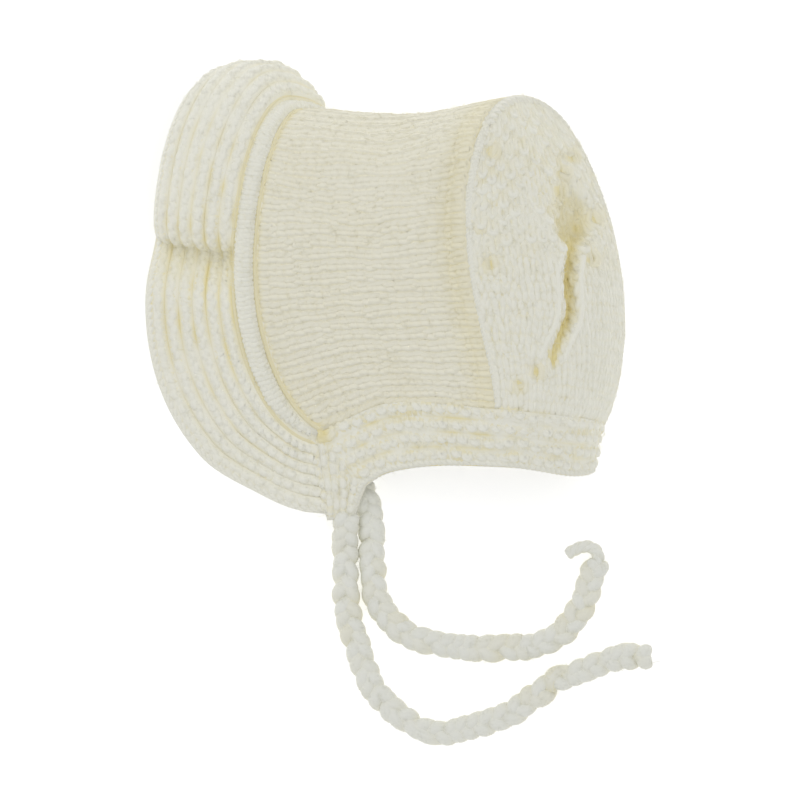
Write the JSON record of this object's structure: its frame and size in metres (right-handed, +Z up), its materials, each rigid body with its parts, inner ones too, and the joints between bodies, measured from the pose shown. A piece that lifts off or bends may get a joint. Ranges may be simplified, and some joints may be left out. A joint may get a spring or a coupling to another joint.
{
  "type": "knitted baby bonnet",
  "caption": "Hand-knitted baby's bonnet lying on its side: wide garter brim, rolled welt, plain-knit crown, heel-turned back, garter neckband and braided chin ties.",
  "frame": {"origin": "middle of the bonnet's box without its ties, on the surface that it lies on", "axes": "+Z up from the surface it lies on, -X towards the face opening, +Y towards the top of the head"},
  "size_m": [0.1515, 0.2046, 0.044],
  "materials": {
    "brim_wool": "cream wool, garter stitch",
    "welt_wool": "cream wool, rolled welt",
    "crown_wool": "cream wool, stocking stitch",
    "panel_wool": "cream wool, stocking stitch",
    "neckband_wool": "cream wool, garter stitch",
    "tie_wool": "cream wool, braided"
  },
  "bodies": {
    "root": {"brim": "brim_wool", "welt": "welt_wool", "crown": "crown_wool", "back_panel": "panel_wool", "neckband": "neckband_wool", "tie_near": "tie_wool", "tie_far": "tie_wool", "tie_tail": "tie_wool"}
  },
  "joints": []
}
